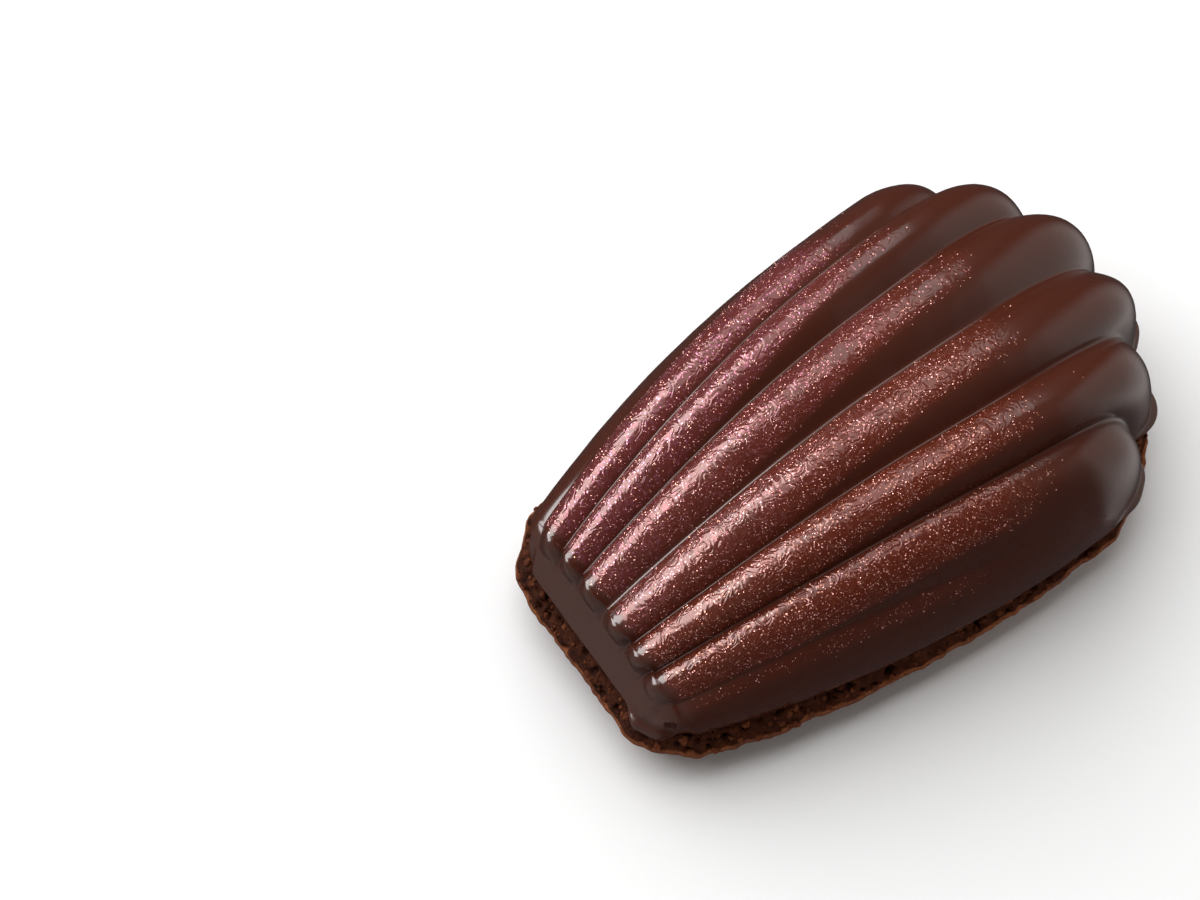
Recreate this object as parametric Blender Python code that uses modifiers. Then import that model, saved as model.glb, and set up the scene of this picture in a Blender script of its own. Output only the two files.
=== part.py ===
"""A moulded madeleine cake, at real size in metres with +Z up.

Two separate pieces make the cake: a sponge that rises to a domed hump, and a
ribbed chocolate shell that covers the moulded side. The narrow end points
towards -X and the wide, scalloped end towards +X. The cake lies on the small
flat spot of its hump, with the ribs up, and its origin is the bottom centre of
its bounding box.
"""
import math

import bmesh
import bpy
import numpy as np

MM = 0.001

# Outline of the moulded side, seen from above
LENGTH = 76 * MM
WIDTH = 49.4 * MM
NARROW_WIDTH = 29.4 * MM
CORNER_RADIUS = 5 * MM
WIDEST_AT = 56 * MM
SIDE_POWER = 2.2
TIP_POWER = 1.7

# Height of the moulded side above its rim
CROWN_HEIGHT = 21.4 * MM
CROWN_AT = 43 * MM
NARROW_HEIGHT = 8.2 * MM
CROWN_POWER = 1.8
TAIL_POWER = 3.9
TAIL_ROUNDNESS = 2.6
SECTION_POWER_NARROW = 2.8
SECTION_POWER_WIDE = 4.0
SECTION_ROUNDNESS = 2.1
WALL_RUN = 3.6 * MM

# Ribs fan out from the narrow end's top edge to the rim of the wide end
RIBS = 6
LOBES = RIBS + 2
TOP_EDGE_WIDTH = 27.4 * MM
RIB_CROWDING = 0.88
RIB_PITCH = 10.6 * MM
FLANK_END = 40 * MM
FLANK_START = 4 * MM
RIB_SWEEP = 0.81
RIB_DEPTH_NARROW = 0.8 * MM
RIB_DEPTH_WIDE = 1.9 * MM
RIB_POWER = 2.4
FLANK_POWER = 1.6
OUTER_VALLEY_SHARE = 0.6
RIB_NOSE = 2.6 * MM

# Chocolate shell
SHELL_THICKNESS = 1.2 * MM
SHELL_EDGE = 0.8 * MM
GAP = 0.3 * MM

# Sponge below the rim
BAND_HEIGHT = 5 * MM
BAND_OUT_NARROW = 1.8 * MM
BAND_OUT_WIDE = -0.4 * MM
BAND_TUCK = 1.0 * MM
HUMP_DEPTH = 4.5 * MM
HUMP_SHRINK = 0.93
HUMP_POWER = 2.4
HUMP_ROUNDNESS = 1.7
HUMP_AT = 42 * MM
FLAT_SPOT_CUT = 1.1

# Fineness of the faces
WALL_STEPS = 3
RIB_ROWS = 20
ROW_EASING = 0.7
STEPS_PER_RIB = 6
STEPS_PER_FLANK = 3
OUTLINE_SAMPLES = 2000


def half_width(x):
    """Half the width of the outline at a distance x from the narrow end."""
    side = 1 - (1 - NARROW_WIDTH / WIDTH) * np.clip(1 - x / WIDEST_AT, 0, 1) ** SIDE_POWER
    beyond = np.clip((x - WIDEST_AT) / (LENGTH - WIDEST_AT), 0, 1)
    tip = (1 - beyond ** TIP_POWER) ** (1 / TIP_POWER)
    corner = np.clip(1 - x / CORNER_RADIUS, 0, 1)
    return WIDTH / 2 * np.where(x < WIDEST_AT, side, tip) - CORNER_RADIUS * (1 - np.sqrt(1 - corner ** 2))


def crown_height(x):
    """Height of the middle line above the rim, with the narrow end's wall."""
    rise = np.clip((CROWN_AT - x) / (CROWN_AT - WALL_RUN), 0, 1) ** CROWN_POWER
    crown = CROWN_HEIGHT - (CROWN_HEIGHT - NARROW_HEIGHT) * rise
    beyond = np.clip((x - CROWN_AT) / (LENGTH - CROWN_AT), 0, 1)
    tail = CROWN_HEIGHT * (1 - beyond ** TAIL_POWER) ** (1 / TAIL_ROUNDNESS)
    wall = np.sin(math.pi / 2 * np.clip(x / WALL_RUN, 0, 1))
    return np.where(x < CROWN_AT, crown, tail) * wall


def section(x, y, power, roundness):
    """Share of the middle line's height left at a distance y to the side of it."""
    across = np.clip(np.abs(y) / np.maximum(half_width(x), MM), 0, 1)
    return (1 - across ** power) ** (1 / roundness)


def envelope_height(x, y):
    """Height over the rib crests above the shell's edge."""
    power = SECTION_POWER_NARROW + (SECTION_POWER_WIDE - SECTION_POWER_NARROW) * x / LENGTH
    return crown_height(x) * section(x, y, power, SECTION_ROUNDNESS)


def outline_at(distance):
    """Points of one side of the outline at distances along it from the wide tip."""
    corner_middle = CORNER_RADIUS * (1 - math.cos(math.pi / 4))
    share = np.linspace(0, math.sqrt(1 - corner_middle / LENGTH), OUTLINE_SAMPLES)
    x = LENGTH * (1 - share ** 2)
    y = half_width(x)
    travelled = np.concatenate([[0], np.cumsum(np.hypot(np.diff(x), np.diff(y)))])
    distance = travelled[-1] * np.clip(distance / travelled[-1], 0, 1)
    return np.interp(distance, travelled, x), np.interp(distance, travelled, y), travelled[-1]


def lobe_positions():
    """Positions across the fan, in lobes from the middle valley."""
    ribs = np.linspace(RIBS / 2, -RIBS / 2, RIBS * STEPS_PER_RIB + 1)
    steps = np.arange(1, STEPS_PER_FLANK + 1) / STEPS_PER_FLANK
    flank = RIBS / 2 + np.sin(math.pi / 2 * steps)
    return np.concatenate([flank[::-1], ribs, -flank])


def row_positions():
    """Positions along the fan: below 0 on the end wall, then 0 to 1 on the ribs."""
    wall = np.arange(-WALL_STEPS, 0) / WALL_STEPS
    steps = np.linspace(0, 1, RIB_ROWS + 1)
    ribs = steps - ROW_EASING * np.sin(2 * math.pi * steps) / (2 * math.pi)
    return np.concatenate([wall, ribs])


def fan_plan():
    """The lattice of the fan from above: x, y, position along and lobe position."""
    along, lobe = np.meshgrid(row_positions(), lobe_positions(), indexing="ij")
    up = np.clip(along, 0, 1)
    side = np.sign(lobe)
    rib = np.minimum(np.abs(lobe), RIBS / 2)
    flank = np.abs(lobe) - rib

    start_y = TOP_EDGE_WIDTH / 2 * (rib / (RIBS / 2)) ** RIB_CROWDING
    end_x, end_y, outline_length = outline_at(RIB_PITCH * rib)
    bend_y = start_y + (end_y - start_y) * RIB_SWEEP
    x = WALL_RUN + (end_x - WALL_RUN) * up
    y = (1 - up) ** 2 * start_y + 2 * up * (1 - up) * bend_y + up ** 2 * end_y

    run = FLANK_END + (outline_length - FLANK_START - FLANK_END) * (1 - up)
    rim_x, rim_y, _ = outline_at(run)
    x = x + (rim_x - x) * flank
    y = y + (rim_y - y) * flank

    corner_x, corner_y, _ = outline_at(outline_length)
    foot_y = corner_y * (np.abs(lobe) / (LOBES / 2)) ** RIB_CROWDING
    turn = np.clip((foot_y - NARROW_WIDTH / 2 + CORNER_RADIUS) / CORNER_RADIUS, 0, 1)
    foot_x = CORNER_RADIUS * (1 - np.sqrt(1 - turn ** 2))
    down = np.clip(-along, 0, 1)
    x = x + (foot_x - x) * down
    y = y + (foot_y - y) * down
    return x, y * side, along, lobe


def lattice_normals(points):
    """Outward normals of a lattice of points."""
    along = np.gradient(points, axis=0)
    across = np.gradient(points, axis=1)
    normals = np.cross(across, along)
    return normals / np.linalg.norm(normals, axis=-1, keepdims=True)


def outline_normals(x, y):
    """Outward directions of the outline, level with the ground."""
    step = 0.01 * MM
    slope = (half_width(x + step) - half_width(x - step)) / (2 * step)
    normals = np.stack([-slope, np.sign(y), np.zeros(x.shape)], axis=-1)
    return normals / np.linalg.norm(normals, axis=-1, keepdims=True)


def on_rim(shape):
    """True on the border of a lattice."""
    rim = np.ones(shape, bool)
    rim[1:-1, 1:-1] = False
    return rim


def rib_inset(z, along, lobe):
    """How far the surface lies inside the envelope: valleys between round ribs."""
    depth = RIB_DEPTH_NARROW + (RIB_DEPTH_WIDE - RIB_DEPTH_NARROW) * np.clip(along, 0, 1)
    depth = depth * (1 - (1 - OUTER_VALLEY_SHARE) * np.clip(np.abs(lobe) - RIBS / 2 + 1, 0, 1))
    from_crest = np.abs(2 * (lobe - np.floor(lobe)) - 1)
    flank = np.clip(np.abs(lobe) - RIBS / 2, 0, 1)
    groove = np.where(flank > 0, (1 - flank) ** FLANK_POWER, from_crest ** RIB_POWER)
    past_edge = np.clip(along * LENGTH / RIB_NOSE, 0, 1)
    nose = np.sqrt(1 - (1 - past_edge) ** 2)
    lift = np.clip(z / NARROW_HEIGHT, 0, 1)
    return depth * (nose * groove + (1 - nose) * lift)


def shell_points():
    """Outer surface of the chocolate shell above its straight edge, as a lattice."""
    x, y, along, lobe = fan_plan()
    points = np.stack([x, y, envelope_height(x, y)], axis=-1)
    rim = on_rim(x.shape)
    points[rim, 2] = 0
    normals = lattice_normals(points)
    normals[rim] = outline_normals(x, y)[rim]
    points -= normals * rib_inset(points[..., 2], along, lobe)[..., None]
    points[..., 2] += SHELL_EDGE
    return points, normals


def hump_points():
    """Lower surface of the sponge, as a lattice with a flat spot at its lowest part."""
    x, y, _, _ = fan_plan()
    reach = np.where(x < HUMP_AT, HUMP_AT, LENGTH - HUMP_AT)
    lengthways = 1 - np.clip(np.abs(x - HUMP_AT) / reach, 0, 1) ** HUMP_POWER
    dome = lengthways ** (1 / HUMP_ROUNDNESS) * section(x, y, HUMP_POWER, HUMP_ROUNDNESS)
    drop = np.minimum(FLAT_SPOT_CUT * dome, 1) * HUMP_DEPTH
    low_x = HUMP_AT + (x - HUMP_AT) * HUMP_SHRINK
    return np.stack([low_x, y * HUMP_SHRINK, -BAND_HEIGHT - drop], axis=-1)


def ring_points(points, normals, outwards, z):
    """The lattice moved out along its normals and laid flat at a height z."""
    moved = points + normals * np.broadcast_to(outwards, points.shape[:2])[..., None]
    moved[..., 2] = z
    return moved


def add_sheet(bm, points):
    """Lay a grid of faces through a lattice of points."""
    rows, columns = points.shape[:2]
    row_layer = bm.verts.layers.int["row"]
    column_layer = bm.verts.layers.int["column"]
    sheet = bmesh.ops.create_grid(bm, x_segments=columns - 1, y_segments=rows - 1, size=1)
    for vertex in sheet["verts"]:
        vertex[row_layer] = round((vertex.co.y + 1) / 2 * (rows - 1))
        vertex[column_layer] = round((vertex.co.x + 1) / 2 * (columns - 1))
        vertex.co = points[vertex[row_layer], vertex[column_layer]]


def add_skirt(bm, points):
    """Extrude the open edge of the sheet to the rim of another lattice."""
    row_layer = bm.verts.layers.int["row"]
    column_layer = bm.verts.layers.int["column"]
    open_edges = [edge for edge in bm.edges if edge.is_boundary]
    made = bmesh.ops.extrude_edge_only(bm, edges=open_edges)
    for item in made["geom"]:
        if isinstance(item, bmesh.types.BMVert):
            item.co = points[item[row_layer], item[column_layer]]


def new_bmesh():
    """An empty bmesh whose vertices remember their row and column."""
    bm = bmesh.new()
    bm.verts.layers.int.new("row")
    bm.verts.layers.int.new("column")
    return bm


def make_object(bm, name, collection, material):
    """Turn a bmesh into a smooth-shaded object with its material."""
    mesh = bpy.data.meshes.new(name)
    bm.to_mesh(mesh)
    bm.free()
    mesh.shade_smooth()
    mesh.materials.append(material)
    thing = bpy.data.objects.new(name, mesh)
    collection.objects.link(thing)
    return thing


def make_material(name, colour, roughness):
    """A Principled material with one colour."""
    material = bpy.data.materials.new(name)
    material.use_nodes = True
    shader = material.node_tree.nodes["Principled BSDF"]
    shader.inputs["Base Color"].default_value = (*colour, 1)
    shader.inputs["Roughness"].default_value = roughness
    return material


def sheet_normals(bm, shape):
    """Vertex normals of a sheet, by row and column."""
    bm.normal_update()
    row_layer = bm.verts.layers.int["row"]
    column_layer = bm.verts.layers.int["column"]
    normals = np.zeros((*shape, 3))
    for vertex in bm.verts:
        normals[vertex[row_layer], vertex[column_layer]] = vertex.normal
    return normals


def make_chocolate_shell(collection):
    """The shell as an open sheet with an even thickness inwards.

    Returns the object and the lattice just inside it, where the sponge starts.
    """
    points, normals = shell_points()
    bm = new_bmesh()
    add_sheet(bm, points)
    inside = points - sheet_normals(bm, points.shape[:2]) * (SHELL_THICKNESS + GAP)
    add_skirt(bm, ring_points(points, normals, 0, 0))
    chocolate = make_material("chocolate", (0.035, 0.014, 0.009), 0.25)
    shell = make_object(bm, "chocolate_shell", collection, chocolate)
    solid = shell.modifiers.new("thickness", "SOLIDIFY")
    solid.thickness = SHELL_THICKNESS
    solid.offset = -1
    return shell, inside


def make_sponge(collection, inside):
    """The sponge: it fills the shell, stands out below its rim and ends in a hump."""
    points, normals = shell_points()
    x = points[..., 0]
    out = BAND_OUT_NARROW + (BAND_OUT_WIDE - BAND_OUT_NARROW) * np.clip(x / LENGTH, 0, 1)
    band_bottom = ring_points(points, normals, out - BAND_TUCK, -BAND_HEIGHT)
    hump = hump_points()
    rim = on_rim(x.shape)
    hump[rim] = band_bottom[rim]

    bm = new_bmesh()
    add_sheet(bm, inside)
    add_skirt(bm, ring_points(points, normals, -SHELL_THICKNESS - GAP, -GAP))
    add_skirt(bm, ring_points(points, normals, out, -GAP))
    add_skirt(bm, ring_points(points, normals, out, -BAND_HEIGHT / 2))
    add_skirt(bm, band_bottom)
    add_sheet(bm, hump)
    bmesh.ops.remove_doubles(bm, verts=bm.verts, dist=0.01 * MM)
    bmesh.ops.recalc_face_normals(bm, faces=bm.faces)
    sponge = make_material("sponge", (0.12, 0.045, 0.025), 0.8)
    return make_object(bm, "sponge_cake", collection, sponge)


def stand_on_origin(pieces):
    """Move the meshes so that the origin is the bottom centre of the whole."""
    corners = np.array([vertex.co for piece in pieces for vertex in piece.data.vertices])
    low, high = corners.min(axis=0), corners.max(axis=0)
    for piece in pieces:
        for vertex in piece.data.vertices:
            vertex.co.x -= (low[0] + high[0]) / 2
            vertex.co.y -= (low[1] + high[1]) / 2
            vertex.co.z -= low[2]


def main():
    for old in list(bpy.data.objects):
        bpy.data.objects.remove(old, do_unlink=True)
    collection = bpy.data.collections.new("madeleine_cake")
    bpy.context.scene.collection.children.link(collection)
    shell, inside = make_chocolate_shell(collection)
    sponge = make_sponge(collection, inside)
    stand_on_origin([shell, sponge])


main()
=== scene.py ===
"""A madeleine cake in its close-up finish: a ribbed dark chocolate shell dusted
with lustre, over a sponge whose torn crumb edge and baked hump show below it.
"""
import math

import bmesh
import bpy
import numpy as np
from bpy.props import FloatProperty, FloatVectorProperty, IntProperty, PointerProperty
from mathutils import Matrix, Vector, noise


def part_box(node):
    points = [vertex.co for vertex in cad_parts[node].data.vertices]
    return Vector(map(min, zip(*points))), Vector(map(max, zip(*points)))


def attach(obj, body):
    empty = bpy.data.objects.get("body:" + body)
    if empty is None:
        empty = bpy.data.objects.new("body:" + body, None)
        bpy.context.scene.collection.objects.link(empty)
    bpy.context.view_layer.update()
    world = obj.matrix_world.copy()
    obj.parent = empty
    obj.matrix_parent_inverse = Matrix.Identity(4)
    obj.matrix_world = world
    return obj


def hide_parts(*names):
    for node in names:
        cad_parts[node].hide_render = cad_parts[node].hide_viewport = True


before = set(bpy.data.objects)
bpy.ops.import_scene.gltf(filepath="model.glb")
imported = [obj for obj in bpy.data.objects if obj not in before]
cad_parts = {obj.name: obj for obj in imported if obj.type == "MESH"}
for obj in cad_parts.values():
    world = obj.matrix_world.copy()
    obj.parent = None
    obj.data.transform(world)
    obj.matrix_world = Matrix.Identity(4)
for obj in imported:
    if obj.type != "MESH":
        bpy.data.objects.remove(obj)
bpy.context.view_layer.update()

bl_info = {
    "name": "Madeleine cake",
    "version": (1, 0, 0),
    "blender": (4, 5, 0),
    "location": "View3D > Sidebar > Madeleine",
    "description": "Builds a chocolate-coated madeleine round its packed solids",
    "category": "Add Mesh",
}

MM = 0.001
SHELL_LOW, SHELL_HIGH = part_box("chocolate_shell")

# The mould's own axes start at the narrow end, on the level of the shell's edge
MOULD_ORIGIN = Vector((SHELL_LOW.x, (SHELL_LOW.y + SHELL_HIGH.y) / 2, SHELL_LOW.z))

# Curves of the mould, without a size of their own
SIDE_POWER = 2.2
TIP_POWER = 1.7
CROWN_POWER = 1.8
TAIL_POWER = 3.9
TAIL_ROUNDNESS = 2.6
SECTION_POWER_NARROW = 2.8
SECTION_POWER_WIDE = 4.0
SECTION_ROUNDNESS = 2.1
RIB_CROWDING = 0.88
RIB_SWEEP = 0.81
HUMP_POWER = 2.4
HUMP_ROUNDNESS = 1.7
FLAT_SPOT_CUT = 1.1

RIBS = 6
LOBES = RIBS + 2
OUTLINE_SAMPLES = 2000
FINE_ROWS = 1500
SLOPE_STEP = 1e-4 * MM


def length(name, description, default, **limits):
    """A length in millimetres as a property in metres."""
    return FloatProperty(name=name, description=description, default=default * MM,
                         unit="LENGTH", subtype="DISTANCE", precision=5, **limits)


def share(name, description, default):
    """A number between 0 and 1."""
    return FloatProperty(name=name, description=description, default=default,
                         min=0, max=1, subtype="FACTOR")


def colour(name, description, default):
    """A linear colour."""
    return FloatVectorProperty(name=name, description=description, default=default,
                               size=3, min=0, max=1, subtype="COLOR")


class MouldSizes(bpy.types.PropertyGroup):
    """The shape that the cake takes from its tin."""

    length: length("Length", "From the narrow end to the wide tip", 76)
    width: length("Width", "Across the widest place", 49.4)
    narrow_width: length("Narrow end", "Width of the narrow end", 29.4)
    corner_radius: length("Corner", "Radius of the narrow end's corners", 5)
    widest_at: length("Widest at", "Distance of the widest place from the narrow end", 56)
    crown_height: length("Crown", "Height of the middle above the shell's edge", 21.4)
    crown_at: length("Crown at", "Distance of the highest place from the narrow end", 43)
    narrow_height: length("Narrow crown", "Height of the top edge at the narrow end", 8.2)
    wall_run: length("End wall", "How far the narrow end's wall leans inwards", 3.6)
    top_edge: length("Top edge", "Width of the six ribs where they start", 27.4)
    rib_pitch: length("Rib pitch", "Width of a rib at the wide end", 10.6)
    flank_start: length("Flank start", "Where the flank begins on the outline", 4)
    flank_end: length("Flank end", "Where the flank ends on the outline", 40)
    depth_narrow: length("Narrow grooves", "Depth of the grooves at the narrow end", 1.6)
    depth_wide: length("Wide grooves", "Depth of the grooves at the wide end", 2.8)
    nose: length("Rib nose", "Length of the rounded start of a rib", 4.0)
    nose_lead: length("Nose lead", "How far the rib noses reach down the end wall", 3.6)
    rib_power: FloatProperty(name="Rib fullness", default=2.1, min=1,
                             description="Higher is a fuller rib with a sharper groove")
    flank_power: FloatProperty(name="Flank fullness", default=1.6, min=1,
                               description="Higher keeps the flank's groove nearer its rib")
    outer_share: share("Outer grooves", "Share of the depth left in the outermost grooves", 0.45)
    groove_radius: share("Groove rounding", "Rounded part of a groove, in half ribs", 0.05)


class ChocolateFinish(bpy.types.PropertyGroup):
    """The shell's thickness, edge and looks."""

    thickness: length("Thickness", "Thickness of the shell", 1.2)
    edge: length("Edge", "Height of the shell's straight edge", 0.8)
    edge_wave: length("Edge wave", "How uneven the lower edge is", 0.35)
    foot: length("Foot", "How far the foot stands out under the wide end", 1.1)
    unevenness: length("Unevenness", "Slow swell of the surface", 0.12)
    dark: colour("Chocolate", "Bare dark chocolate", (0.054, 0.0130, 0.0068))
    warm: colour("Warm chocolate", "Chocolate where the lustre is rubbed in", (0.115, 0.019, 0.009))
    pearl: colour("Pearl", "Pink sheen of the lustre near the narrow end", (0.62, 0.20, 0.34))
    copper: colour("Copper", "Copper sheen of the lustre", (0.60, 0.25, 0.17))
    gloss: share("Roughness", "Roughness of bare chocolate", 0.15)


class SpongeFinish(bpy.types.PropertyGroup):
    """The sponge below the shell."""

    out_narrow: length("Ledge, narrow end", "How far the crumb stands out there", 1.8)
    out_wide: length("Ledge, wide end", "How far the crumb stands out there", -0.4)
    band: length("Band", "Height of the band of sponge between the shell and the hump", 5)
    tuck: length("Tuck", "How far the band turns back in at its foot", 1.0)
    hump: length("Hump", "Depth of the hump under the band", 4.5)
    hump_at: length("Hump at", "Distance of the hump's middle from the narrow end", 42)
    hump_share: share("Hump share", "Size of the hump's foot against the outline", 0.93)
    pore: length("Pore", "Size of the larger pores of the crumb", 1.5)
    pore_depth: length("Pore depth", "Depth of the pores", 1.4)
    crumb: colour("Crumb", "Inside of the sponge", (0.095, 0.026, 0.011))
    # Painted shade: a near-black colour laid into the pores, where shade falls deep in the crumb
    pit: colour("Pit", "Deep in the pores", (0.010, 0.0025, 0.0015))
    crust: colour("Crust", "Baked crust of the hump", (0.135, 0.044, 0.024))
    rim: colour("Rim", "Thin toasted rim of the crust", (0.26, 0.082, 0.030))


class LustreFinish(bpy.types.PropertyGroup):
    """The metallic dust on the ribs."""

    density: FloatProperty(name="Density", default=5.5, min=0,
                           description="Flakes on each square millimetre of a well dusted place")
    flake: length("Flake", "Width of a large flake", 0.21)
    tilt: FloatProperty(name="Tilt", default=math.radians(34), subtype="ANGLE", unit="ROTATION",
                        description="How far a flake may lean out of the surface")
    copper: colour("Copper", "Copper flakes", (0.95, 0.44, 0.27))
    pink: colour("Pink", "Pink flakes", (0.95, 0.48, 0.54))
    seed: IntProperty(name="Seed", description="Seed of the scatter", default=7)


class CrumbFinish(bpy.types.PropertyGroup):
    """Loose crumbs on the torn ledge."""

    density: FloatProperty(name="Density", default=0.35, min=0,
                           description="Crumbs on each square millimetre of the ledge")
    size: length("Size", "Width of a large crumb", 1.0)
    seed: IntProperty(name="Seed", description="Seed of the scatter", default=3)


class StageSettings(bpy.types.PropertyGroup):
    """Floor, lights and camera."""

    azimuth: FloatProperty(name="Azimuth", default=math.radians(-24.9), subtype="ANGLE",
                           unit="ROTATION", description="Camera's bearing round the cake")
    elevation: FloatProperty(name="Elevation", default=math.radians(69.3), subtype="ANGLE",
                             unit="ROTATION", description="Camera's height angle")
    roll: FloatProperty(name="Roll", default=math.radians(-10.4), subtype="ANGLE",
                        unit="ROTATION", description="Camera's turn about its own axis")
    distance: length("Distance", "From the camera to the point it looks at", 441.85)
    aim_x: length("Aim along", "Point looked at, from the narrow end", 14.57)
    aim_y: length("Aim across", "Point looked at, from the middle", 17.25)
    aim_z: length("Aim height", "Point looked at, above the shell's edge", 5)
    lens: FloatProperty(name="Lens", description="Focal length in millimetres", default=113.7)
    floor: colour("Floor", "Pale floor", (0.80, 0.80, 0.80))
    key_power: FloatProperty(name="Key light", description="Power of the large softbox",
                             default=15.0, unit="POWER")
    fill_power: FloatProperty(name="Fill light", description="Power of the overhead fill",
                              default=22.0, unit="POWER")
    window_power: FloatProperty(name="Window light", description="Power of the weaker softbox",
                                default=4.6, unit="POWER")


class MadeleineSettings(bpy.types.PropertyGroup):
    """All the settings of the cake."""

    mould: PointerProperty(type=MouldSizes, name="Mould", description="Sizes of the tin")
    chocolate: PointerProperty(type=ChocolateFinish, name="Chocolate", description="The shell")
    sponge: PointerProperty(type=SpongeFinish, name="Sponge", description="The sponge")
    lustre: PointerProperty(type=LustreFinish, name="Lustre", description="The metallic dust")
    crumbs: PointerProperty(type=CrumbFinish, name="Crumbs", description="Loose crumbs")
    stage: PointerProperty(type=StageSettings, name="Stage", description="Floor, lights, camera")


# --- The mould's shape -------------------------------------------------------

def half_width(mould, x):
    """Half the width of the outline at a distance x from the narrow end."""
    before = np.clip(1 - x / mould.widest_at, 0, 1) ** SIDE_POWER
    side = 1 - (1 - mould.narrow_width / mould.width) * before
    beyond = np.clip((x - mould.widest_at) / (mould.length - mould.widest_at), 0, 1)
    tip = (1 - beyond ** TIP_POWER) ** (1 / TIP_POWER)
    corner = np.clip(1 - x / mould.corner_radius, 0, 1)
    cut = mould.corner_radius * (1 - np.sqrt(1 - corner ** 2))
    return mould.width / 2 * np.where(x < mould.widest_at, side, tip) - cut


def crown_height(mould, x):
    """Height of the middle line above the rim, with the narrow end's wall."""
    before = np.clip((mould.crown_at - x) / (mould.crown_at - mould.wall_run), 0, 1)
    crown = mould.crown_height - (mould.crown_height - mould.narrow_height) * before ** CROWN_POWER
    beyond = np.clip((x - mould.crown_at) / (mould.length - mould.crown_at), 0, 1)
    tail = mould.crown_height * (1 - beyond ** TAIL_POWER) ** (1 / TAIL_ROUNDNESS)
    wall = np.sin(math.pi / 2 * np.clip(x / mould.wall_run, 0, 1))
    return np.where(x < mould.crown_at, crown, tail) * wall


def section(mould, x, y, power, roundness):
    """Share of the middle line's height left at a distance y to the side of it."""
    across = np.clip(np.abs(y) / np.maximum(half_width(mould, x), MM), 0, 1)
    return (1 - across ** power) ** (1 / roundness)


def envelope(mould, x, y):
    """Points on the surface that touches the rib crests."""
    power = SECTION_POWER_NARROW + (SECTION_POWER_WIDE - SECTION_POWER_NARROW) * x / mould.length
    z = crown_height(mould, x) * section(mould, x, y, power, SECTION_ROUNDNESS)
    return np.stack([x, y, z], axis=-1)


def outline_at(mould, distance):
    """Points of one side of the outline at distances along it from the wide tip."""
    corner_middle = mould.corner_radius * (1 - math.cos(math.pi / 4))
    part = np.linspace(0, math.sqrt(1 - corner_middle / mould.length), OUTLINE_SAMPLES)
    x = mould.length * (1 - part ** 2)
    y = half_width(mould, x)
    travelled = np.concatenate([[0], np.cumsum(np.hypot(np.diff(x), np.diff(y)))])
    distance = travelled[-1] * np.clip(distance / travelled[-1], 0, 1)
    return np.interp(distance, travelled, x), np.interp(distance, travelled, y), travelled[-1]


def fan_plan(mould, along, lobe):
    """The fan from above, at positions along the ribs and across the lobes."""
    up = np.clip(along, 0, 1)
    side = np.sign(lobe)
    rib = np.minimum(np.abs(lobe), RIBS / 2)
    flank = np.abs(lobe) - rib

    start_y = mould.top_edge / 2 * (rib / (RIBS / 2)) ** RIB_CROWDING
    end_x, end_y, outline_length = outline_at(mould, mould.rib_pitch * rib)
    bend_y = start_y + (end_y - start_y) * RIB_SWEEP
    x = mould.wall_run + (end_x - mould.wall_run) * up
    y = (1 - up) ** 2 * start_y + 2 * up * (1 - up) * bend_y + up ** 2 * end_y

    reach = outline_length - mould.flank_start - mould.flank_end
    rim_x, rim_y, _ = outline_at(mould, mould.flank_end + reach * (1 - up))
    x = x + (rim_x - x) * flank
    y = y + (rim_y - y) * flank

    _, corner_y, _ = outline_at(mould, outline_length)
    foot_y = corner_y * (np.abs(lobe) / (LOBES / 2)) ** RIB_CROWDING
    inner_y = mould.narrow_width / 2 - mould.corner_radius
    turn = np.clip((foot_y - inner_y) / mould.corner_radius, 0, 1)
    foot_x = mould.corner_radius * (1 - np.sqrt(1 - turn ** 2))
    down = np.clip(-along, 0, 1)
    return x + (foot_x - x) * down, (y + (foot_y - y) * down) * side


def lobe_positions(steps):
    """Positions across the fan, closer together in the grooves."""
    part = np.arange(steps) / steps
    eased = part - 0.5 * np.sin(2 * math.pi * part) / (2 * math.pi)
    return np.append((np.arange(LOBES)[:, None] + eased).ravel(), LOBES) - LOBES / 2


def fan_positions(mould, rows, wall_rows, steps):
    """Lattice of positions along and across the fan, evenly spaced over the crown."""
    lobe = lobe_positions(steps)
    fine = 1 - (1 - np.linspace(0, 1, FINE_ROWS)) ** 3
    points = envelope(mould, *fan_plan(mould, *np.meshgrid(fine, lobe, indexing="ij")))
    strides = np.linalg.norm(np.diff(points, axis=0), axis=-1)
    travelled = np.vstack([np.zeros(len(lobe)), np.cumsum(strides, axis=0)])
    goal = np.linspace(0, 1, rows)
    ribs = np.stack([np.interp(goal * way[-1], way, fine) for way in travelled.T], axis=1)
    wall = np.repeat(np.arange(-wall_rows, 0)[:, None] / wall_rows, len(lobe), axis=1)
    along = np.vstack([wall, ribs])
    return along, np.broadcast_to(lobe, along.shape)


def on_rim(shape):
    """True on the border of a lattice."""
    rim = np.ones(shape, bool)
    rim[1:-1, 1:-1] = False
    return rim


def unit(vectors):
    """Vectors brought to length 1."""
    return vectors / np.linalg.norm(vectors, axis=-1, keepdims=True)


def surface_normal(mould, x, y):
    """Outward directions of the envelope, from its slope."""
    rise_x = envelope(mould, x + SLOPE_STEP, y) - envelope(mould, x - SLOPE_STEP, y)
    rise_y = envelope(mould, x, y + SLOPE_STEP) - envelope(mould, x, y - SLOPE_STEP)
    return unit(np.stack([-rise_x[..., 2], -rise_y[..., 2], np.full(x.shape, 2 * SLOPE_STEP)], axis=-1))


def outline_normal(mould, x, y):
    """Level directions outwards from the outline."""
    rise = half_width(mould, x + SLOPE_STEP) - half_width(mould, x - SLOPE_STEP)
    return unit(np.stack([-rise, np.sign(y) * 2 * SLOPE_STEP, np.zeros(x.shape)], axis=-1))


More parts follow.
